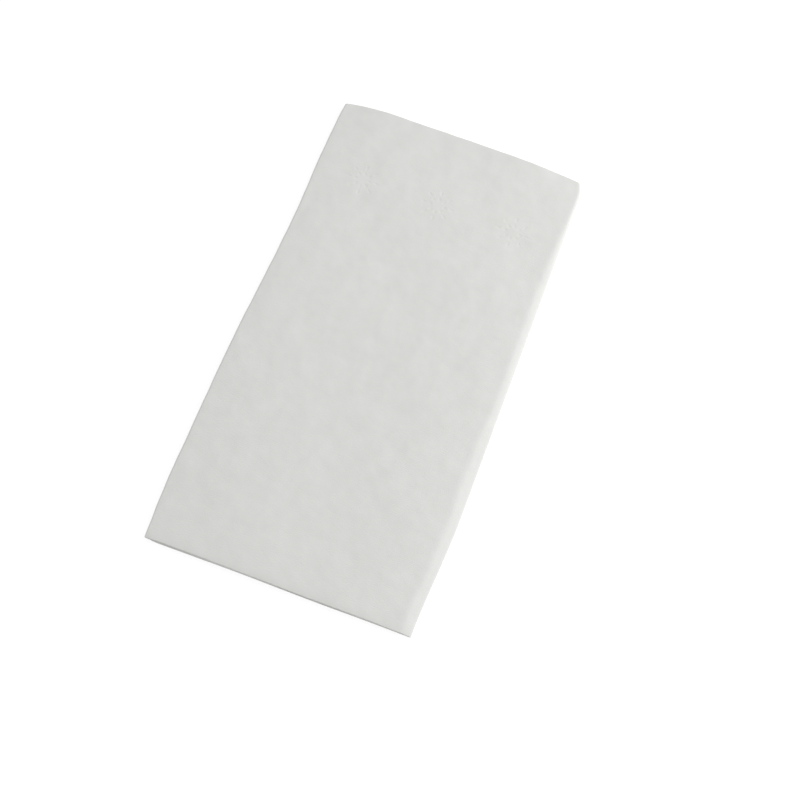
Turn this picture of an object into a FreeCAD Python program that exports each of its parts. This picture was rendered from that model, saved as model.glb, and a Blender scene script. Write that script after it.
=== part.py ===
import FreeCAD, Part
import math
import os
import Sketcher

# Paper dinner napkin: one square tissue sheet, folded three times into eight layers
# and lying flat.
#
# The first fold doubles the sheet and ends up as the far short edge. The second fold
# halves the doubled sheet and ends up as the left long edge. The last fold halves it
# again and is the round right long edge. The near short edge shows eight cut edges.
#
# Millimetres. X runs across the folded napkin, Y along it and Z up. The origin is the
# middle of the underside, so the napkin lies on the plane Z = 0.

doc = FreeCAD.newDocument("paper_napkin")

# Driving sizes

DRIVING_SIZES = {
    # The open sheet, across the last two folds and along them.
    "sheet_width": 400,
    "sheet_length": 400,
    # Tissue at its lofted thickness, with its plies together.
    "sheet_thickness": 0.25,
    # Air between the two leaves of the doubled sheet, and between doubled passes.
    "leaf_gap": 0.1,
    "pass_gap": 0.1,
    # How far the sheet's inner cut edge stops short of the left edge.
    "cut_edge_setback": 0.6,
    # Embossed rosettes: strokes around a centre, in a row near the far edge.
    "emboss_depth": 0.1,
    "stroke_width": 0.8,
    "stroke_length": 4,
    "stroke_inner_radius": 2.4,
    "strokes_per_rosette": 8,
    "rosette_count": 3,
    "rosette_pitch": 31,
    "rosette_edge_distance": 33,
}

sheet = doc.addObject("Spreadsheet::Sheet", "sizes")
for row, (alias, number) in enumerate(DRIVING_SIZES.items(), start=1):
    sheet.set(f"A{row}", alias)
    sheet.set(f"B{row}", str(number))
    sheet.setAlias(f"B{row}", alias)
doc.recompute()

# Sizes that follow from the driving ones, as expressions on the sheet

DOUBLED = "(2 * sizes.sheet_thickness + sizes.leaf_gap)"
PITCH = f"({DOUBLED} + sizes.pass_gap)"
TOP = f"({DOUBLED} + 3 * {PITCH})"

# The last fold wraps the outer passes around the inner ones on one centre.
OUTER_RADIUS = f"(1.5 * {PITCH})"
INNER_RADIUS = f"(0.5 * {PITCH})"
LAST_FOLD_HEIGHT = f"({DOUBLED} / 2 + {OUTER_RADIUS})"

# The doubled sheet keeps its width along the whole path, half on each side of the
# second fold. That gives the distance between the fold centres and both cut edges.
HALF_WIDTH = "(sizes.sheet_width / 2)"
FOLD_SPAN = (
    f"(({HALF_WIDTH} - 1.5 * pi * {INNER_RADIUS} - {INNER_RADIUS}"
    f" - {DOUBLED} / 2 + sizes.cut_edge_setback) / 2)"
)
OUTER_PASS = f"({HALF_WIDTH} - pi * ({OUTER_RADIUS} + {INNER_RADIUS} / 2) - {FOLD_SPAN})"
INNER_PASS = f"({HALF_WIDTH} - 1.5 * pi * {INNER_RADIUS} - {FOLD_SPAN})"

# The right edge reaches past its fold centre by more than the left edge does, so the
# centres sit left of the middle by half the difference.
SHIFT = f"(({OUTER_RADIUS} - {INNER_RADIUS}) / 2)"
LAST_FOLD_X = f"({FOLD_SPAN} / 2 - {SHIFT})"
SECOND_FOLD_X = f"({FOLD_SPAN} / 2 + {SHIFT})"

# Each leaf of the doubled sheet, from the near cut edge to the first fold's centre.
LEAF = f"((sizes.sheet_length - pi * (sizes.leaf_gap + sizes.sheet_thickness) / 2) / 2)"
HALF_LENGTH = f"(({LEAF} + {DOUBLED} / 2) / 2)"
FIRST_FOLD_Y = f"({LEAF} - {HALF_LENGTH})"


def value(expression):
    """The number that an expression has now."""
    return float(sheet.evalExpression(expression))


def new_sketch(body, role, name):
    """An empty sketch on one of the body's own origin planes."""
    sketch = body.newObject("Sketcher::SketchObject", name)
    plane = next(p for p in body.Origin.OriginFeatures if p.Role == role)
    sketch.AttachmentSupport = (plane, [""])
    sketch.MapMode = "FlatFace"
    return sketch


def line(sketch, x1, y1, x2, y2):
    """A straight edge between two points; gives its number in the sketch."""
    start = FreeCAD.Vector(x1, y1, 0)
    end = FreeCAD.Vector(x2, y2, 0)
    return sketch.addGeometry(Part.LineSegment(start, end))


def half_circle(sketch, x, y, radius, opens):
    """Half a circle whose open side faces left or right; gives its number."""
    first = {"left": -math.pi / 2, "right": math.pi / 2}[opens]
    circle = Part.Circle(FreeCAD.Vector(x, y, 0), FreeCAD.Vector(0, 0, 1), radius)
    return sketch.addGeometry(Part.ArcOfCircle(circle, first, first + math.pi))


def bind(sketch, kind, places, name, expression):
    """A named dimension of the sketch that follows the sheet."""
    number = sketch.addConstraint(Sketcher.Constraint(kind, *places, value(expression)))
    sketch.renameConstraint(number, name)
    sketch.setExpression(f"Constraints.{name}", expression)


# Ends and centre of an edge, and the sketch's own origin and axis
START, END, CENTRE = 1, 2, 3
ORIGIN = (-1, 1)
AXIS = -1


def draw_fold_path(body):
    """The doubled sheet's middle line, seen from the near edge, from cut edge to cut edge."""
    sketch = new_sketch(body, "XZ_Plane", "fold_path")
    right, left = value(LAST_FOLD_X), -value(SECOND_FOLD_X)
    height, outer, inner = value(LAST_FOLD_HEIGHT), value(OUTER_RADIUS), value(INNER_RADIUS)

    lowest = line(sketch, right - value(OUTER_PASS), height - outer, right, height - outer)
    last_fold = half_circle(sketch, right, height, outer, "left")
    highest = line(sketch, right, height + outer, left, height + outer)
    second_fold = half_circle(sketch, left, height + (outer + inner) / 2, inner, "right")
    third = line(sketch, left, height + inner, right, height + inner)
    last_fold_inside = half_circle(sketch, right, height, inner, "left")
    second = line(sketch, right, height - inner, right - value(INNER_PASS), height - inner)

    for run in (lowest, highest, third, second):
        sketch.addConstraint(Sketcher.Constraint("Horizontal", run))
    joints = [
        (lowest, END, last_fold, START),
        (last_fold, END, highest, START),
        (highest, END, second_fold, START),
        (second_fold, END, third, START),
        (third, END, last_fold_inside, END),
        (last_fold_inside, START, second, START),
    ]
    for joint in joints:
        sketch.addConstraint(Sketcher.Constraint("Tangent", *joint))
    same_centre = (last_fold, CENTRE, last_fold_inside, CENTRE)
    sketch.addConstraint(Sketcher.Constraint("Coincident", *same_centre))

    bind(sketch, "DistanceX", (*ORIGIN, last_fold, CENTRE), "last_fold_x", LAST_FOLD_X)
    bind(sketch, "DistanceY", (*ORIGIN, last_fold, CENTRE), "last_fold_z", LAST_FOLD_HEIGHT)
    bind(sketch, "DistanceX", (second_fold, CENTRE, *ORIGIN), "second_fold_x", SECOND_FOLD_X)
    bind(sketch, "Radius", (last_fold,), "last_fold_radius", OUTER_RADIUS)
    bind(sketch, "Radius", (last_fold_inside,), "last_fold_inside_radius", INNER_RADIUS)
    bind(sketch, "DistanceX", (lowest, START, lowest, END), "lowest_pass", OUTER_PASS)
    bind(sketch, "DistanceX", (second, END, second, START), "second_pass", INNER_PASS)
    return sketch


def draw_doubled_section(body):
    """The doubled sheet cut across its first fold: two leaves joined by a hairpin."""
    sketch = new_sketch(body, "YZ_Plane", "doubled_section")
    sketch.setExpression("AttachmentOffset.Base.z", f"{LAST_FOLD_X} - {OUTER_PASS}")
    near, bend = -value(HALF_LENGTH), value(FIRST_FOLD_Y)
    outer = value(DOUBLED) / 2
    inner = value("sizes.leaf_gap / 2")
    middle = outer

    bottom = line(sketch, near, middle - outer, bend, middle - outer)
    outside = half_circle(sketch, bend, middle, outer, "left")
    top = line(sketch, bend, middle + outer, near, middle + outer)
    upper_cut = line(sketch, near, middle + outer, near, middle + inner)
    upper_inside = line(sketch, near, middle + inner, bend, middle + inner)
    inside = half_circle(sketch, bend, middle, inner, "left")
    lower_inside = line(sketch, bend, middle - inner, near, middle - inner)
    lower_cut = line(sketch, near, middle - inner, near, middle - outer)

    for run in (bottom, top, upper_inside, lower_inside):
        sketch.addConstraint(Sketcher.Constraint("Horizontal", run))
    for cut in (upper_cut, lower_cut):
        sketch.addConstraint(Sketcher.Constraint("Vertical", cut))
    sketch.addConstraint(Sketcher.Constraint("Vertical", upper_cut, END, lower_cut, START))
    joints = [
        (bottom, END, outside, START),
        (outside, END, top, START),
        (upper_inside, END, inside, END),
        (inside, START, lower_inside, START),
    ]
    for joint in joints:
        sketch.addConstraint(Sketcher.Constraint("Tangent", *joint))
    corners = [
        (top, END, upper_cut, START),
        (upper_cut, END, upper_inside, START),
        (lower_inside, END, lower_cut, START),
        (lower_cut, END, bottom, START),
        (outside, CENTRE, inside, CENTRE),
    ]
    for corner in corners:
        sketch.addConstraint(Sketcher.Constraint("Coincident", *corner))

    bind(sketch, "DistanceX", (*ORIGIN, outside, CENTRE), "first_fold_y", FIRST_FOLD_Y)
    bind(sketch, "DistanceY", (*ORIGIN, outside, CENTRE), "middle_height", f"{DOUBLED} / 2")
    bind(sketch, "Radius", (outside,), "outside_radius", f"{DOUBLED} / 2")
    bind(sketch, "Radius", (inside,), "inside_radius", "sizes.leaf_gap / 2")
    bind(sketch, "DistanceX", (bottom, START, bottom, END), "leaf_length", LEAF)
    return sketch


def draw_stroke(body):
    """One embossed stroke, beside the centre of the left rosette on the top face."""
    sketch = new_sketch(body, "XY_Plane", "stroke")
    first_x = "-(sizes.rosette_count - 1) * sizes.rosette_pitch / 2"
    sketch.setExpression("AttachmentOffset.Base.x", first_x)
    far_edge = f"{HALF_LENGTH} - sizes.rosette_edge_distance"
    sketch.setExpression("AttachmentOffset.Base.y", far_edge)
    sketch.setExpression("AttachmentOffset.Base.z", TOP)
    radius = "(sizes.stroke_width / 2)"
    straight = "(sizes.stroke_length - sizes.stroke_width)"
    first_centre = f"(sizes.stroke_inner_radius + {radius})"
    r = value(radius)
    x1 = value(first_centre)
    x2 = x1 + value(straight)

    lower = line(sketch, x1, -r, x2, -r)
    outer_end = half_circle(sketch, x2, 0, r, "left")
    upper = line(sketch, x2, r, x1, r)
    inner_end = half_circle(sketch, x1, 0, r, "right")

    joints = [
        (lower, END, outer_end, START),
        (outer_end, END, upper, START),
        (upper, END, inner_end, START),
        (inner_end, END, lower, START),
    ]
    for joint in joints:
        sketch.addConstraint(Sketcher.Constraint("Tangent", *joint))
    sketch.addConstraint(Sketcher.Constraint("Equal", outer_end, inner_end))
    for end in (outer_end, inner_end):
        sketch.addConstraint(Sketcher.Constraint("PointOnObject", end, CENTRE, AXIS))
    bind(sketch, "DistanceX", (*ORIGIN, inner_end, CENTRE), "first_centre", first_centre)
    bind(sketch, "DistanceX", (inner_end, CENTRE, outer_end, CENTRE), "straight", straight)
    bind(sketch, "Radius", (inner_end,), "end_radius", radius)
    return sketch


def fold_sheet(body):
    """Carries the doubled section along the fold path."""
    path = draw_fold_path(body)
    section = draw_doubled_section(body)
    doc.recompute()
    folded = body.newObject("PartDesign::AdditivePipe", "folded_sheet")
    folded.Profile = section
    folded.Spine = (path, [f"Edge{n + 1}" for n in range(path.GeometryCount)])
    doc.recompute()
    return folded


def emboss(body):
    """Presses the row of rosettes into the top leaf."""
    stroke = draw_stroke(body)
    press = body.newObject("PartDesign::Pocket", "pressed_stroke")
    press.Profile = stroke
    press.setExpression("Length", "sizes.emboss_depth")
    around = body.newObject("PartDesign::PolarPattern", "around_rosette")
    around.Axis = (stroke, ["N_Axis"])
    around.Angle = 360
    around.setExpression("Occurrences", "sizes.strokes_per_rosette")
    along = body.newObject("PartDesign::LinearPattern", "along_edge")
    along.Direction = (stroke, ["H_Axis"])
    along.setExpression("Length", "sizes.rosette_pitch * (sizes.rosette_count - 1)")
    along.setExpression("Occurrences", "sizes.rosette_count")
    rosettes = body.newObject("PartDesign::MultiTransform", "rosettes")
    rosettes.Originals = [press]
    rosettes.Transformations = [around, along]
    body.Tip = rosettes
    doc.recompute()


def build_napkin():
    body = doc.addObject("PartDesign::Body", "napkin")
    body.Label = "napkin"
    body.Placement = FreeCAD.Placement()
    folded = fold_sheet(body)
    unfolded = value("sizes.sheet_width * sizes.sheet_length * sizes.sheet_thickness")
    print(f"folded sheet {folded.Shape.Volume:.0f} mm3, open sheet {unfolded:.0f} mm3")
    emboss(body)
    print(f"embossing took {folded.Shape.Volume - body.Shape.Volume:.2f} mm3")
    return body


def check(pieces):
    """Stops if any object failed or a piece isn't one sound solid."""
    for item in doc.Objects:
        if "Invalid" in item.State or "Error" in item.State:
            raise RuntimeError(f"{item.Name}: {item.State}")
    for piece in pieces:
        shape = piece.Shape
        if shape.isNull() or not shape.isValid() or len(shape.Solids) != 1:
            raise RuntimeError(f"{piece.Label} is not one sound solid")


def main():
    pieces = [build_napkin()]
    doc.recompute()
    check(pieces)
    os.makedirs("parts", exist_ok=True)
    for piece in pieces:
        piece.Shape.exportStep(os.path.join("parts", f"{piece.Label}.step"))
        box = piece.Shape.optimalBoundingBox()
        print(piece.Label, f"{box.XLength:.2f} x {box.YLength:.2f} x {box.ZLength:.2f} mm")


main()
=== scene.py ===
# %% [markdown]
# # A paper napkin, folded three times
#
# The object is one square of soft white tissue, folded into eight layers and lying flat.
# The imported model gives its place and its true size, and everything here is made around
# that: first the open sheet, then its folds, then the small slackness of real paper, the
# finish, and last the floor, the light and the camera.

# %% Load the frame
from math import ceil, cos, exp, pi, radians, sin

import bpy
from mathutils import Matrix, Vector, noise


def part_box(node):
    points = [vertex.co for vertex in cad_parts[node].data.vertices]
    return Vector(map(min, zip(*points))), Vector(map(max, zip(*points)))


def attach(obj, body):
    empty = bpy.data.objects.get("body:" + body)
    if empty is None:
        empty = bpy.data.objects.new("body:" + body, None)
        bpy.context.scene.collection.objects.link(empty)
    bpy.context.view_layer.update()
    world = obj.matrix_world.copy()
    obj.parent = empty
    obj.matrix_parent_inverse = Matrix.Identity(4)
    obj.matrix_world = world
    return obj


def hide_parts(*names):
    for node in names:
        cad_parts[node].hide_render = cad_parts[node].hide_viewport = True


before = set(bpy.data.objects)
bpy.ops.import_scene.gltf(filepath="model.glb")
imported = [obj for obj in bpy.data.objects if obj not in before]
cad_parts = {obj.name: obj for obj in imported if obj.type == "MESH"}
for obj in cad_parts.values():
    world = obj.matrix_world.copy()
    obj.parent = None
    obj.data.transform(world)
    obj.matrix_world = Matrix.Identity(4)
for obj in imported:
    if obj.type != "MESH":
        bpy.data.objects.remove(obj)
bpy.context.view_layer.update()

MM = 0.001
low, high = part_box("napkin")
print("folded napkin", [round(side / MM, 2) for side in high - low], "mm")

# %% [markdown]
# ## The sheet's own sizes
#
# A napkin like this one is cut 400 mm square. Its tissue is about a third of a millimetre
# thick with its plies together. A leaf is one thickness of it, and a pass is the doubled
# sheet on its way once across, so eight leaves lie in four passes with a little air
# between them. From these few sizes and the folded outline come the length of each
# straight run of paper and the radius of each fold, just as the real sheet has only so
# much paper to go round.

# %% Sizes of the sheet and of its folds
SHEET_SIDE = 400 * MM
TISSUE = 0.32 * MM
LEAF_GAP = 0.03 * MM
PASS_GAP = 0.03 * MM
LEAVES = 8

doubled = 2 * TISSUE + LEAF_GAP
pitch = doubled + PASS_GAP
leaf_pitch = pitch / 2
hairpin_radius = (TISSUE + LEAF_GAP) / 2
inner_radius = 0.5 * pitch
outer_radius = 1.5 * pitch

last_fold_x = high.x - outer_radius - doubled / 2
second_fold_x = low.x + inner_radius + doubled / 2
span = last_fold_x - second_fold_x
lowest_run = SHEET_SIDE / 2 - pi * (outer_radius + inner_radius / 2) - span
second_run = SHEET_SIDE / 2 - 1.5 * pi * inner_radius - span
leaf_run = (SHEET_SIDE - pi * hairpin_radius) / 2
print("runs across", [round(run / MM, 2) for run in (lowest_run, span, span, second_run)], "mm")

# %% [markdown]
# ## Routes: straight runs and half turns
#
# A folded sheet seen from its edge is a line of straight runs joined by half turns. The
# doubled sheet follows one such route from left to right and back, twice. Seen from the
# side, the first fold is another route, one run out and one run back. Each step of a
# route is a turning radius, which is 0 on a straight run, and a length. A turn to the
# right has a negative radius. One function walks any route, so both folds share it.

# %% The two routes
ACROSS_START = (last_fold_x - lowest_run, doubled / 2)
ACROSS = [
    (0, lowest_run),
    (outer_radius, pi * outer_radius),
    (0, span),
    (inner_radius, pi * inner_radius),
    (0, span),
    (-inner_radius, pi * inner_radius),
    (0, second_run),
]
ALONG_START = (low.y, hairpin_radius)
ALONG = [
    (0, leaf_run),
    (-hairpin_radius, pi * hairpin_radius),
    (0, leaf_run),
]


def walk(route, start, distance, aside):
    """The point a distance along the route, and a little to the left of it."""
    a, b = start
    heading = 0.0
    for radius, length in route:
        step = min(distance, length)
        if radius:
            turned = heading + step / radius
            a += radius * (sin(turned) - sin(heading))
            b -= radius * (cos(turned) - cos(heading))
            heading = turned
        else:
            a += step * cos(heading)
            b += step * sin(heading)
        distance -= step
        if distance <= 0:
            break
    return a - aside * sin(heading), b + aside * cos(heading)


# %% [markdown]
# ## Where the sheet needs points
#
# A flat run needs few points and a tight turn needs many. The stations are the places
# along a route that get a line of points. Just beside a turn they start close together
# and spread out, because the paper still bends there once it is loosened.

# %% The stations along each route
BESIDE_TURN = [0.8 * MM, 1.7 * MM, 2.7 * MM, 4.0 * MM]


def stations(route, run_pitch, turn_steps):
    """Where the sheet needs a line of points: close together in turns and beside them."""
    places = [0.0]
    for radius, length in route:
        start = places[-1]
        if radius:
            steps = [length * (n + 1) / turn_steps for n in range(turn_steps)]
        else:
            reach = BESIDE_TURN[-1]
            middle = length - 2 * reach
            count = ceil(middle / run_pitch)
            steps = BESIDE_TURN + [reach + middle * (n + 1) / count for n in range(count)]
            steps += [length - step for step in reversed([0.0] + BESIDE_TURN[:-1])]
        places += [start + step for step in steps]
    return places


columns = stations(ACROSS, run_pitch=3.3 * MM, turn_steps=12)
rows = stations(ALONG, run_pitch=2.5 * MM, turn_steps=10)
print(len(columns), "columns and", len(rows), "rows, sheet", round(columns[-1], 4), "m wide")

# %% [markdown]
# ## The open sheet
#
# The sheet starts as a flat grid at its full size. Its columns and rows are then slid to
# the stations, so that most of the points wait at the folds, where they are needed. A
# Solidify modifier gives the tissue its thickness while the sheet is still flat, which is
# far cleaner than thickening it once it is folded on itself.

# %% Helpers for the selection
def select_only(piece):
    bpy.ops.object.select_all(action="DESELECT")
    piece.select_set(True)
    bpy.context.view_layer.objects.active = piece


def select_by(kind):
    """Sets edit mode to pick edges or faces, and leaves it again."""
    bpy.ops.object.mode_set(mode="EDIT")
    bpy.ops.mesh.select_mode(type=kind)
    bpy.ops.object.mode_set(mode="OBJECT")


def pick(elements, wanted):
    """Selects the faces or edges of the mesh that are wanted, and opens edit mode."""
    bpy.ops.object.mode_set(mode="EDIT")
    bpy.ops.mesh.select_all(action="DESELECT")
    bpy.ops.object.mode_set(mode="OBJECT")
    for element in elements:
        element.select = wanted(element)
    bpy.ops.object.mode_set(mode="EDIT")


# %% Make the open sheet
bpy.ops.object.select_all(action="DESELECT")
bpy.ops.mesh.primitive_grid_add(
    x_subdivisions=len(columns) - 1, y_subdivisions=len(rows) - 1, size=SHEET_SIDE
)
napkin = bpy.context.object
napkin.name = "napkin_sheet"
column_pitch = SHEET_SIDE / (len(columns) - 1)
row_pitch = SHEET_SIDE / (len(rows) - 1)
half_side = SHEET_SIDE / 2
for vertex in napkin.data.vertices:
    column = round((half_side - vertex.co.x) / column_pitch)
    row = round((half_side + vertex.co.y) / row_pitch)
    vertex.co.x = half_side - columns[column]
    vertex.co.y = rows[row] - half_side

# %% Give it the thickness of the tissue
thicken = napkin.modifiers.new("tissue", "SOLIDIFY")
thicken.thickness = TISSUE
thicken.offset = 0
select_only(napkin)
bpy.ops.object.modifier_apply(modifier="tissue")
print("open sheet", len(napkin.data.vertices), "points")

# %% [markdown]
# ## Three plies at the cut edges
#
# The tissue is three thin plies laid together. On its faces that can't be seen, but where
# it is cut each ply ends in its own soft line. The short edges through the thickness are
# divided in six, and the points between two plies are pushed a little into the sheet. An
# attribute keeps how deep each point lies in the sheet, counted in plies, so that the
# finish can paint a line of shade between them later.

# %% Divide the rim through its thickness
PLIES = 3


def through_sheet(edge):
    ends = [napkin.data.vertices[n].co.z for n in edge.vertices]
    return min(ends) < 0 < max(ends)


select_by("EDGE")
pick(napkin.data.edges, through_sheet)
bpy.ops.mesh.subdivide(number_cuts=2 * PLIES - 1)
bpy.ops.object.mode_set(mode="OBJECT")

# %% Part the plies at the rim
PLY_GROOVE = 0.06 * MM
RIM_REACH = 0.1 * MM
SKIN = 0.01

depth = napkin.data.attributes.new("depth", "FLOAT", "POINT")
for vertex in napkin.data.vertices:
    plies_deep = (vertex.co.z / TISSUE + 0.5) * PLIES
    depth.data[vertex.index].value = plies_deep
    groove = PLY_GROOVE * abs(2 * (plies_deep % 1) - 1) ** 2
    if SKIN < plies_deep < PLIES - SKIN:
        if abs(vertex.co.x) > half_side - RIM_REACH:
            vertex.co.x -= groove * (1 if vertex.co.x > 0 else -1)
        if abs(vertex.co.y) > half_side - RIM_REACH:
            vertex.co.y -= groove * (1 if vertex.co.y > 0 else -1)
print("rim parted into", PLIES, "plies,", len(napkin.data.vertices), "points")

# %% [markdown]
# ## A map of the open sheet
#
# The UV map is the open sheet seen from above. A pattern that reads it goes round the
# folds with the paper, as the grain of real tissue does.

# %% Lay the map
sheet_map = napkin.data.uv_layers.active.data
for loop in napkin.data.loops:
    flat = napkin.data.vertices[loop.vertex_index].co
    sheet_map[loop.index].uv = (0.5 + flat.x / SHEET_SIDE, 0.5 + flat.y / SHEET_SIDE)
print("map laid over", len(sheet_map), "corners")

# %% [markdown]
# ## The pressed rosettes
#
# A press leaves a row of three small rosettes in the tissue near one short edge. Each has
# eight rays round a centre, and each ray is two short seeds, one near the centre and one
# further out. They are real hollows here. The leaf that ends up on top gets a finer net
# of faces just there, and each point is pushed down by how deep it lies inside the
# nearest seed.

# %% Where the rosettes are on the open sheet
ROSETTE_COUNT = 3
ROSETTE_PITCH = 31 * MM
ROSETTE_EDGE_DISTANCE = 33 * MM
RAYS = 8
RAY_LENGTH = 4 * MM
RAY_INNER_RADIUS = 2.4 * MM
FINE_MARGIN = 2.2 * MM

top_run_start = lowest_run + pi * outer_radius
rosette_row = high.y - ROSETTE_EDGE_DISTANCE - low.y - half_side
rosette_centres = []
for n in range(ROSETTE_COUNT):
    folded_x = (n - (ROSETTE_COUNT - 1) / 2) * ROSETTE_PITCH
    across = top_run_start + last_fold_x - folded_x
    rosette_centres.append((half_side - across, rosette_row))
rosette_reach = RAY_INNER_RADIUS + RAY_LENGTH + FINE_MARGIN
print("rosettes on the open sheet at", [round(x / MM, 1) for x, y in rosette_centres], "mm")

# %% Finer faces under each rosette
FINE_CUTS = 9
FACING_UP = 0.9


def near_rosette(point):
    return any(
        max(abs(point.x - x), abs(point.y - y)) < rosette_reach for x, y in rosette_centres
    )


select_by("FACE")
pick(
    napkin.data.polygons,
    lambda face: face.normal.z > FACING_UP and near_rosette(face.center),
)
bpy.ops.mesh.subdivide(number_cuts=FINE_CUTS)
bpy.ops.object.mode_set(mode="OBJECT")
print("with rosettes", len(napkin.data.vertices), "points")


# %% Press the seeds into the tissue
SEEDS = ((0.05, 0.22), (0.7, 0.95))      # start and end of each seed, as shares of its ray
SEED_REACH = 0.6 * MM
PRESS_DEPTH = 0.08 * MM


def ease(amount):
    """0 to 1 with soft ends, for an amount that runs from 0 to 1."""
    amount = min(max(amount, 0.0), 1.0)
    return amount * amount * (3 - 2 * amount)


def seed_depth(point, centre):
    """How far the press pushes a point down, from the seeds round one centre."""
    away = Vector((point.x - centre[0], point.y - centre[1], 0))
    if away.length > rosette_reach:
        return 0.0
    deepest = 0.0
    for n in range(RAYS):
        angle = 2 * pi * n / RAYS
        outward = Vector((cos(angle), sin(angle), 0))
        along = (away.dot(outward) - RAY_INNER_RADIUS) / RAY_LENGTH
        for inner, outer in SEEDS:
            nearest = RAY_INNER_RADIUS + RAY_LENGTH * min(max(along, inner), outer)
            inside = 1 - (away - outward * nearest).length / SEED_REACH
            deepest = max(deepest, PRESS_DEPTH * ease(inside))
    return deepest


for vertex in napkin.data.vertices:
    if vertex.co.z > 0 and near_rosette(vertex.co):
        vertex.co.z -= max(seed_depth(vertex.co, centre) for centre in rosette_centres)
print("pressed", ROSETTE_COUNT * RAYS * len(SEEDS), "seeds", PRESS_DEPTH / MM, "mm deep")


# %% [markdown]
# ## Fold it
#
# Every point of the thick flat sheet is walked along the two routes. First along the
# sheet: that gives its place from the near edge to the first fold, and its height inside
# the doubled sheet. Then that doubled sheet is walked across. Lengths along the paper
# stay as they were, so nothing is stretched.

# %% Where a point of the open sheet goes
def folded(point):
    along, height = walk(ALONG, ALONG_START, half_side + point.y, point.z)
    across, up = walk(ACROSS, ACROSS_START, half_side - point.x, -height)
    return Vector((across, along, up))


# %% [markdown]
# ## The slackness of real paper
#
# A folded napkin is never a crisp block. The next cells each give one small smooth push
# as a function of the place on the folded napkin. Some scale the heights, some slide all
# leaves at a place together, and the last one slides leaves along each other and lifts
# the upper ones, so no leaf cuts through another. First come the shapes that the pushes
# are built from. The waves are noise from mathutils, the same in every run, and each wave
# reads its own layer of it, so that no two look alike.

# %% Small smooth shapes
NOISE_LAYER_STEP = 7.3
size = high - low


def rise(place, start, length):
    """A soft step from 0 to 1 that begins at start."""
    return ease((place - start) / length)


def hump(place, start, full_from, full_to, end):
    """Rises from start to full_from, stays at 1 and falls from full_to to end."""
    return rise(place, start, full_from - start) * (1 - rise(place, full_to, end - full_to))


def ripple(x, y, length, layer):
    """A smooth wave between about -1 and 1 with bumps of about this length."""
    return noise.noise(Vector((x / length, y / length, NOISE_LAYER_STEP * layer)))


def shares(point):
    """How far across from the left, and how far along from the far edge, from 0 to 1."""
    return (point.x - low.x) / size.x, (high.y - point.y) / size.y


# %% [markdown]
# ## The outline swells between its corners
#
# The corners are held by the folds, and the sides between them are free to bulge. Each
# span says where along its side a bulge starts, is full, begins to fall and ends, in
# shares of the side. The points between the two long sides follow them in proportion.

# %% Swell the sides
LEFT_SWELL = 1.75 * MM
LEFT_SWELL_SPAN = (0.27, 0.6, 0.86, 1.12)
LEFT_FAR_SWELL = 0.65 * MM
LEFT_FAR_SWELL_SPAN = (-0.02, 0.07, 0.14, 0.27)
RIGHT_SWELL = 2.0 * MM
RIGHT_SWELL_SPAN = (-0.012, 0.028, 0.76, 1.0)
FAR_SWELL = 1.4 * MM
FAR_LEFT_CORNER = 0.05
FAR_RIGHT_CORNER = 0.15
FAR_SWELL_FADE = 4


def swell(point):
    s, t = shares(point)
    left = LEFT_SWELL * hump(t, *LEFT_SWELL_SPAN)
    left += LEFT_FAR_SWELL * hump(t, *LEFT_FAR_SWELL_SPAN)
    right = RIGHT_SWELL * hump(t, *RIGHT_SWELL_SPAN)
    far = FAR_SWELL * (1 - exp(-s / FAR_LEFT_CORNER)) * (1 - exp((s - 1) / FAR_RIGHT_CORNER))
    point.x += s * right - (1 - s) * left
    point.y += far * (1 - t) ** FAR_SWELL_FADE


# %% [markdown]
# ## The last fold is pressed into a soft wedge
#
# The last fold takes two passes round two others, and it was pressed flat by hand. Left
# half round it would look like a hose, so its nose is sharpened, and the layers are
# thinned towards it over a few millimetres. The wedge is widest near the cut edges and
# wanders a little, which gives the bright, slightly uneven line along that side. It has
# to start softly and wander slowly: the leaves are a few hundredths of a millimetre apart
# there, and a corner or a short wave would make their flat faces cut each other.

# %% Squeeze the last fold
NOSE_DEPTH = 1.6 * MM
NOSE_SHARPNESS = 1.8
WEDGE_STEEPNESS = 0.17 / MM
WEDGE_WIDTH = 2.5 * MM
WEDGE_RISE = 0.27
WEDGE_NEAR_WIDTH = 1.1 * MM
WEDGE_NEAR_START = 0.48
WEDGE_NEAR_RISE = 0.17
WEDGE_WAVE = 0.2
WEDGE_WAVE_LENGTH = 16 * MM
WEDGE_SOFTNESS = 0.8 * MM
WEDGE_NOISE_LAYER = 3


def above_zero(amount, softness):
    """The amount where it is above 0, with a soft bend at 0 instead of a corner."""
    if amount <= -softness:
        return 0.0
    if amount >= softness:
        return amount
    return (amount + softness) ** 2 / (4 * softness)


def squeeze(point):
    """Sharpens the last fold, and thins the layers towards it, unevenly along it."""
    inwards = high.x - point.x
    if 0 < inwards < NOSE_DEPTH:
        inwards = NOSE_DEPTH * (inwards / NOSE_DEPTH) ** NOSE_SHARPNESS
        point.x = high.x - inwards
    s, t = shares(point)
    width = WEDGE_WIDTH * rise(t, 0, WEDGE_RISE)
    width += WEDGE_NEAR_WIDTH * rise(t, WEDGE_NEAR_START, WEDGE_NEAR_RISE)
    width *= 1 + WEDGE_WAVE * ripple(0, point.y, WEDGE_WAVE_LENGTH, WEDGE_NOISE_LAYER)
    point.z *= 1 - WEDGE_STEEPNESS * above_zero(width - inwards, WEDGE_SOFTNESS)


# %% [markdown]
# ## Loft: thicker in the middle, soft at the rim
#
# Tissue is springy. The layers stand highest along the first fold and in the middle, have
# slow waves, and sink at the cut edges and at the corners. The crown's powers say how
# flat its top is across and along. All of it scales the heights, so the underside stays
# flat on the floor.

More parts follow.
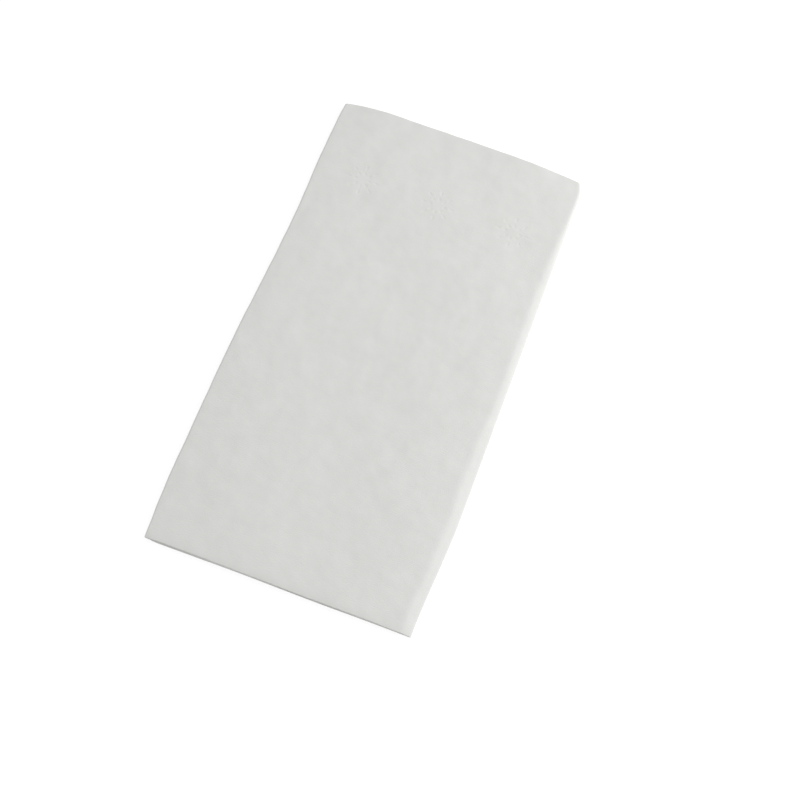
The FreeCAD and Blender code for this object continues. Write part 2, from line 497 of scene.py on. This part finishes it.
# %% Loft the layers
CROWN = 0.5 * MM
CROWN_POWER_ACROSS = 6
CROWN_POWER_ALONG = 8
FAR_LOFT = 1.1 * MM
FAR_LOFT_SPAN = (0, 0.2, 0.76, 1)
FAR_LOFT_REACH = 0.08
RIGHT_FALL = 0.45 * MM
RIGHT_FALL_ACROSS = (0.72, 0.28)
RIGHT_FALL_ALONG = (0.45, 0.3)
WAVES = ((38 * MM, 0.28 * MM), (15 * MM, 0.18 * MM), (7 * MM, 0.1 * MM))   # length, height
NEAR_DROOP = 0.12
NEAR_DROOP_REACH = 1.2 * MM
CORNER_DROOP = 0.2
LEFT_CORNER_REACH = (0.06, 0.05)
RIGHT_CORNER_REACH = (0.05, 0.03)


def corner_droop(s, t):
    """How far a point sinks because it is near a corner, as a share of its height."""
    across, along = LEFT_CORNER_REACH
    left_corners = exp(-s / across) * (exp(-t / along) + exp((t - 1) / along))
    across, along = RIGHT_CORNER_REACH
    right_corner = exp((s - 1) / across) * exp((t - 1) / along)
    return CORNER_DROOP * (left_corners + right_corner)


def loft(point):
    """Raises a point in proportion to its height, so the underside stays flat."""
    s, t = shares(point)
    crown_across = 1 - abs(2 * s - 1) ** CROWN_POWER_ACROSS
    crown_along = 1 - abs(2 * t - 1) ** CROWN_POWER_ALONG
    raised = CROWN * crown_across * crown_along
    raised += FAR_LOFT * hump(s, *FAR_LOFT_SPAN) * exp(-t / FAR_LOFT_REACH)
    raised -= RIGHT_FALL * rise(s, *RIGHT_FALL_ACROSS) * rise(t, *RIGHT_FALL_ALONG)
    for layer, (length, height) in enumerate(WAVES):
        raised += height * ripple(point.x, point.y, length, layer)
    near = 1 - NEAR_DROOP * exp(-(point.y - low.y) / NEAR_DROOP_REACH)
    point.z *= (1 + raised / size.z) * near * (1 - corner_droop(s, t))


# %% [markdown]
# ## The leaves lie loose
#
# At the cut edges the leaves part by a few hundredths of a millimetre, here more and
# there less, and none of them ends quite where the next one does. Each opened gap lifts
# all the leaves above it, so their order is kept. The two leaves of a pass share the
# first fold, and the two upper passes share the second, so these move as one there.

# %% Loosen the leaves
EDGE_REACH = 9 * MM
FOLD_REACH = 5 * MM
RIGHT_FOLD_HOLD = 0.3
LEFT_FOLD_HOLD = 0.2
LOOSE_GAP = 0.08 * MM
LOOSE_GAP_WAVE = 14 * MM
NEAR_STAGGER = 0.35 * MM
NEAR_STAGGER_WAVE = 30 * MM
FAR_STAGGER = 0.3 * MM
FAR_STAGGER_WAVE = 45 * MM
LEFT_STAGGER = 0.4 * MM
LEFT_STAGGER_WAVE = 35 * MM
PUCKER = 0.16 * MM
PUCKER_WAVE = 6 * MM
GAP_LAYER, NEAR_LAYER, FAR_LAYER, FAR_PUCKER_LAYER, LEFT_LAYER = 10, 30, 50, 60, 70


def loosen(point):
    """Opens uneven gaps at the near edge, and ends each leaf at its own line."""
    leaf = min(int((point.z + LEAF_GAP / 2) / leaf_pitch), LEAVES - 1)
    fold_pass = leaf // 2
    from_left, from_near, from_right = point.x - low.x, point.y - low.y, high.x - point.x
    free = ease(from_right / FOLD_REACH - RIGHT_FOLD_HOLD)
    free *= ease(from_left / FOLD_REACH - LEFT_FOLD_HOLD)
    near = exp(-from_near / EDGE_REACH) * free
    far = exp((point.y - high.y) / EDGE_REACH) * free
    for below in range(leaf):
        opened = max(0.0, ripple(point.x, 0, LOOSE_GAP_WAVE, GAP_LAYER + below))
        point.z += LOOSE_GAP * opened * near
    point.y += NEAR_STAGGER * ripple(point.x, 0, NEAR_STAGGER_WAVE, NEAR_LAYER + leaf) * near
    point.y += FAR_STAGGER * ripple(point.x, 0, FAR_STAGGER_WAVE, FAR_LAYER + fold_pass) * far
    point.y += PUCKER * ripple(point.x, 0, PUCKER_WAVE, FAR_PUCKER_LAYER + fold_pass) * far
    layer = LEFT_LAYER + min(fold_pass, 2)
    left = exp(-from_left / EDGE_REACH)
    point.x += LEFT_STAGGER * ripple(0, point.y, LEFT_STAGGER_WAVE, layer) * left
    point.x += PUCKER * ripple(0, point.y, PUCKER_WAVE, layer) * left


# %% [markdown]
# ## All pushes in turn
#
# Each point of the open sheet is folded first and pushed afterwards. The leaves are
# loosened while their heights still tell them apart, and the outline comes last.

# %% Fold and push every point
for vertex in napkin.data.vertices:
    place = folded(vertex.co)
    for push in (loosen, squeeze, loft, swell):
        push(place)
    vertex.co = place
heights = [vertex.co.z / MM for vertex in napkin.data.vertices]
print("folded height", round(min(heights), 3), "to", round(max(heights), 3), "mm")

# %% Finish the mesh
SMOOTH_ANGLE = 35
select_only(napkin)
bpy.ops.object.shade_smooth_by_angle(angle=radians(SMOOTH_ANGLE))
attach(napkin, "root")
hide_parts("napkin")
triangles = sum(len(face.vertices) - 2 for face in napkin.data.polygons)
print("the sheet has", triangles, "triangles")

# %% [markdown]
# ## Shader sums
#
# A finish is easiest to read as a sum. This small class stands for one output of a shader
# node, so that * + and - between such outputs add their Math nodes. One method makes any
# other node from its kind, its settings and what its sockets are given.

# %% Sockets that can be added and multiplied
class Wire:
    """The output of a shader node, ready for arithmetic."""

    def __init__(self, tree, socket):
        self.tree = tree
        self.socket = socket

    @staticmethod
    def node(tree, kind, settings=None, values=None, output=0):
        """Adds a node, sets it up, feeds its sockets and gives one of its outputs."""
        added = tree.nodes.new(kind)
        for name, setting in (settings or {}).items():
            setattr(added, name, setting)
        feed(tree, added.inputs, values or {})
        return Wire(tree, added.outputs[output])

    def maths(self, operation, first, second):
        return Wire.node(self.tree, "ShaderNodeMath", {"operation": operation}, {0: first, 1: second})

    def __add__(self, other):
        return self.maths("ADD", self, other)

    def __sub__(self, other):
        return self.maths("SUBTRACT", self, other)

    def __mul__(self, other):
        return self.maths("MULTIPLY", self, other)

    def __rsub__(self, other):
        return self.maths("SUBTRACT", other, self)

    __radd__ = __add__
    __rmul__ = __mul__


# %% Feeding sockets and starting a finish
def feed(tree, sockets, values):
    """Gives each named socket its value, or the wire that leads to it."""
    for name, value in values.items():
        if isinstance(value, Wire):
            tree.links.new(value.socket, sockets[name])
        else:
            sockets[name].default_value = value


def new_finish(name):
    """A material with its node tree and its main shader."""
    finish = bpy.data.materials.new(name)
    finish.use_nodes = True
    return finish, finish.node_tree, finish.node_tree.nodes["Principled BSDF"]


# %% [markdown]
# ## Soft white tissue
#
# Tissue is made of short fibres that dried on a warm roller and were scraped off it. That
# leaves a fine crepe of tiny ridges that run one way, with fluff between them, a slow
# cockle, and soft clouds where the fibres lie thicker. All of it is noise over the map of
# the open sheet in millimetres, so the grain turns with the paper at each fold.

# %% The tissue's patterns
CLOUDS_PER_MM = 0.14
COCKLES_PER_MM = 0.13
CREPE_PER_MM = (0.5, 3.6)
FLUFF_PER_MM = 4.5

tissue, tissue_tree, tissue_shader = new_finish("tissue")


def noise_over(place, scale, detail):
    settings = {"noise_dimensions": "2D"}
    values = {"Vector": place, "Scale": scale, "Detail": detail}
    return Wire.node(tissue_tree, "ShaderNodeTexNoise", settings, values)


def stretched(place, across, along):
    values = {0: place, 1: (across, along, 1)}
    return Wire.node(tissue_tree, "ShaderNodeVectorMath", {"operation": "MULTIPLY"}, values)


map_name = napkin.data.uv_layers.active.name
open_sheet = Wire.node(tissue_tree, "ShaderNodeUVMap", {"uv_map": map_name})
sheet_mm = stretched(open_sheet, SHEET_SIDE / MM, SHEET_SIDE / MM)
clouds = noise_over(sheet_mm, CLOUDS_PER_MM, detail=2)
cockle = noise_over(sheet_mm, COCKLES_PER_MM, detail=1)
crepe = noise_over(stretched(sheet_mm, *CREPE_PER_MM), 1.0, detail=2)
fluff = noise_over(sheet_mm, FLUFF_PER_MM, detail=2)

# %% [markdown]
# ## Lines between the plies
#
# The depth attribute counts plies through the sheet, so it is a whole number just between
# two of them. A ping-pong of it is 0 there and makes a thin darker line, which is painted
# shade for the shaded groove between two plies. A second one, over all the plies, is 0 on
# the two faces of the sheet and keeps the line off them.

# %% The line between two plies
PLY_LINE_WIDTH = 0.25
FACE_WIDTH = 0.3
ply_count = Wire.node(tissue_tree, "ShaderNodeAttribute", {"attribute_name": "depth"}, output="Fac")


def away_from(step):
    """0 where the depth is a whole number of steps, and more between two of them."""
    values = {0: ply_count, 1: step / 2}
    return Wire.node(tissue_tree, "ShaderNodeMath", {"operation": "PINGPONG"}, values)


def ramp(value, end):
    """Runs from 0 to 1 while the value runs from 0 to end."""
    return Wire.node(tissue_tree, "ShaderNodeMapRange", {}, {"Value": value, "From Max": end})


# Painted shade: a darker colour where the groove between two plies would be shaded.
ply_shade_line = (1 - ramp(away_from(1), PLY_LINE_WIDTH)) * ramp(away_from(PLIES), FACE_WIDTH)

# %% [markdown]
# ## Colour and relief
#
# The paper is a slightly warm white that differs only a little from cloud to cloud, and
# it has almost no gloss. The relief goes through one Bump node: its distance is the depth
# of the fine grain, and the cockle is counted in such depths.

# %% Feed the tissue's shader
TISSUE_LIGHT = (0.819, 0.822, 0.800, 1)
TISSUE_DARK = (0.763, 0.766, 0.742, 1)
# PLY_SHADE is the colour of the painted shade in the grooves between the plies.
PLY_SHADE = (0.77, 0.77, 0.755, 1)
CLOUD_TONE, FLUFF_TONE = 0.8, 0.2
GRAIN_DEPTH = 0.075 * MM
COCKLE_DEPTH = 0.25 * MM
CREPE_RELIEF, FLUFF_RELIEF = 0.65, 0.35
ROUGHNESS, CLOUD_SMOOTHNESS = 0.97, 0.12
SHEEN, SHEEN_ROUGHNESS = 0.06, 0.5
MIX_COLOUR_A, MIX_COLOUR_B, MIX_COLOUR_RESULT = 6, 7, 2


def mixed(factor, first, second):
    values = {0: factor, MIX_COLOUR_A: first, MIX_COLOUR_B: second}
    return Wire.node(tissue_tree, "ShaderNodeMix", {"data_type": "RGBA"}, values, MIX_COLOUR_RESULT)


paper_tone = mixed(CLOUD_TONE * clouds + FLUFF_TONE * fluff, TISSUE_DARK, TISSUE_LIGHT)
relief = COCKLE_DEPTH / GRAIN_DEPTH * cockle + CREPE_RELIEF * crepe + FLUFF_RELIEF * fluff
bump = Wire.node(tissue_tree, "ShaderNodeBump", {}, {"Distance": GRAIN_DEPTH, "Height": relief})
feed(tissue_tree, tissue_shader.inputs, {
    # The paper's own tone, with painted shade on the lines between the plies.
    "Base Color": mixed(ply_shade_line, paper_tone, PLY_SHADE),
    "Roughness": ROUGHNESS - CLOUD_SMOOTHNESS * clouds,
    "Normal": bump,
    "Sheen Weight": SHEEN,
    "Sheen Roughness": SHEEN_ROUGHNESS,
})
napkin.data.materials.clear()
napkin.data.materials.append(tissue)
print("tissue finish has", len(tissue_tree.nodes), "nodes")

# %% [markdown]
# ## A white floor that keeps the shadow
#
# The napkin is nearly as white as the page behind it, so the light can't be turned up
# until the floor goes white: the napkin would lose all its folds. Instead the floor
# glows a little for the camera and for reflections only. To the light it is plain white
# card, which throws light back up at the cut edges.

# %% The floor
FLOOR_SIDE = 6
FLOOR_CARD = 0.88
FLOOR_SEEN = 0.36
FLOOR_GLOW = 0.78

bpy.ops.object.select_all(action="DESELECT")
bpy.ops.mesh.primitive_plane_add(size=FLOOR_SIDE)
floor = bpy.context.object
floor.name = "floor"
card, card_tree, card_shader = new_finish("white_card")


def seen_by_eye(tree):
    """1 for rays from the camera, from gloss and through glass, 0 for plain light."""
    camera_ray, glossy_ray, transmission_ray = (
        Wire.node(tree, "ShaderNodeLightPath", output=f"Is {kind} Ray")
        for kind in ("Camera", "Glossy", "Transmission")
    )
    return camera_ray + glossy_ray + transmission_ray


seen = seen_by_eye(card_tree)
feed(card_tree, card_shader.inputs, {
    "Base Color": FLOOR_CARD - (FLOOR_CARD - FLOOR_SEEN) * seen,
    "Roughness": 1.0,
    "Specular IOR Level": 0.0,
    "Emission Color": FLOOR_GLOW * seen,
    "Emission Strength": 1.0,
})
floor.data.materials.append(card)
print("floor", FLOOR_SIDE, "m wide, its finish has", len(card_tree.nodes), "nodes")

# %% [markdown]
# ## Light from all round, and a little more from the right
#
# Paper this plain shows its shape only by how each slope faces the light. An even bright
# surround lights it from all sides. One large soft lamp stands to the right and towards
# the far end, low enough that the pressed last fold catches it and turns into a bright
# ridge.

# %% The lamp
WINDOW_PLACE = (0.75, 0.4, 0.42)
WINDOW_SIZE = 0.6
WINDOW_WATTS = 5.1

window_light = bpy.data.lights.new("window", "AREA")
window_light.shape = "SQUARE"
window_light.size = WINDOW_SIZE
window_light.energy = WINDOW_WATTS
window = bpy.data.objects.new("window", window_light)
bpy.context.scene.collection.objects.link(window)
window.location = WINDOW_PLACE
window.rotation_euler = (-Vector(WINDOW_PLACE)).to_track_quat("-Z", "Y").to_euler()
print("lamp", round(Vector(WINDOW_PLACE).length, 2), "m from the napkin")

# %% The surround
SURROUND = 0.635

world = bpy.data.worlds.new("studio")
bpy.context.scene.world = world
world.use_nodes = True
surround = world.node_tree.nodes["Background"]
feed(world.node_tree, surround.inputs, {
    "Color": (1, 1, 1, 1),
    "Strength": SURROUND + (1 - SURROUND) * seen_by_eye(world.node_tree),
})

# %% [markdown]
# ## The camera
#
# The four corners of the napkin in the picture and its 2 to 1 outline fix where the
# camera was: above the near end, a little to the right, looking down. Standard is the
# view transform that shows a colour about as it is written.

# %% The camera
CAMERA_PLACE = (62.84 * MM, -232.16 * MM, 508.04 * MM)
CAMERA_ANGLES = (23.345, -3.406, 20.134)
CAMERA_LENS_MM = 66.045
CAMERA_SENSOR_MM = 36
CAMERA_NEAR_LIMIT = 10 * MM

camera_data = bpy.data.cameras.new("camera")
camera_data.lens = CAMERA_LENS_MM
camera_data.sensor_width = CAMERA_SENSOR_MM
camera_data.clip_start = CAMERA_NEAR_LIMIT
camera = bpy.data.objects.new("camera", camera_data)
bpy.context.scene.collection.objects.link(camera)
camera.location = CAMERA_PLACE
camera.rotation_euler = [radians(angle) for angle in CAMERA_ANGLES]
bpy.context.scene.camera = camera
bpy.context.scene.view_settings.view_transform = "Standard"
print("camera", round(CAMERA_PLACE[2], 3), "m above the floor")
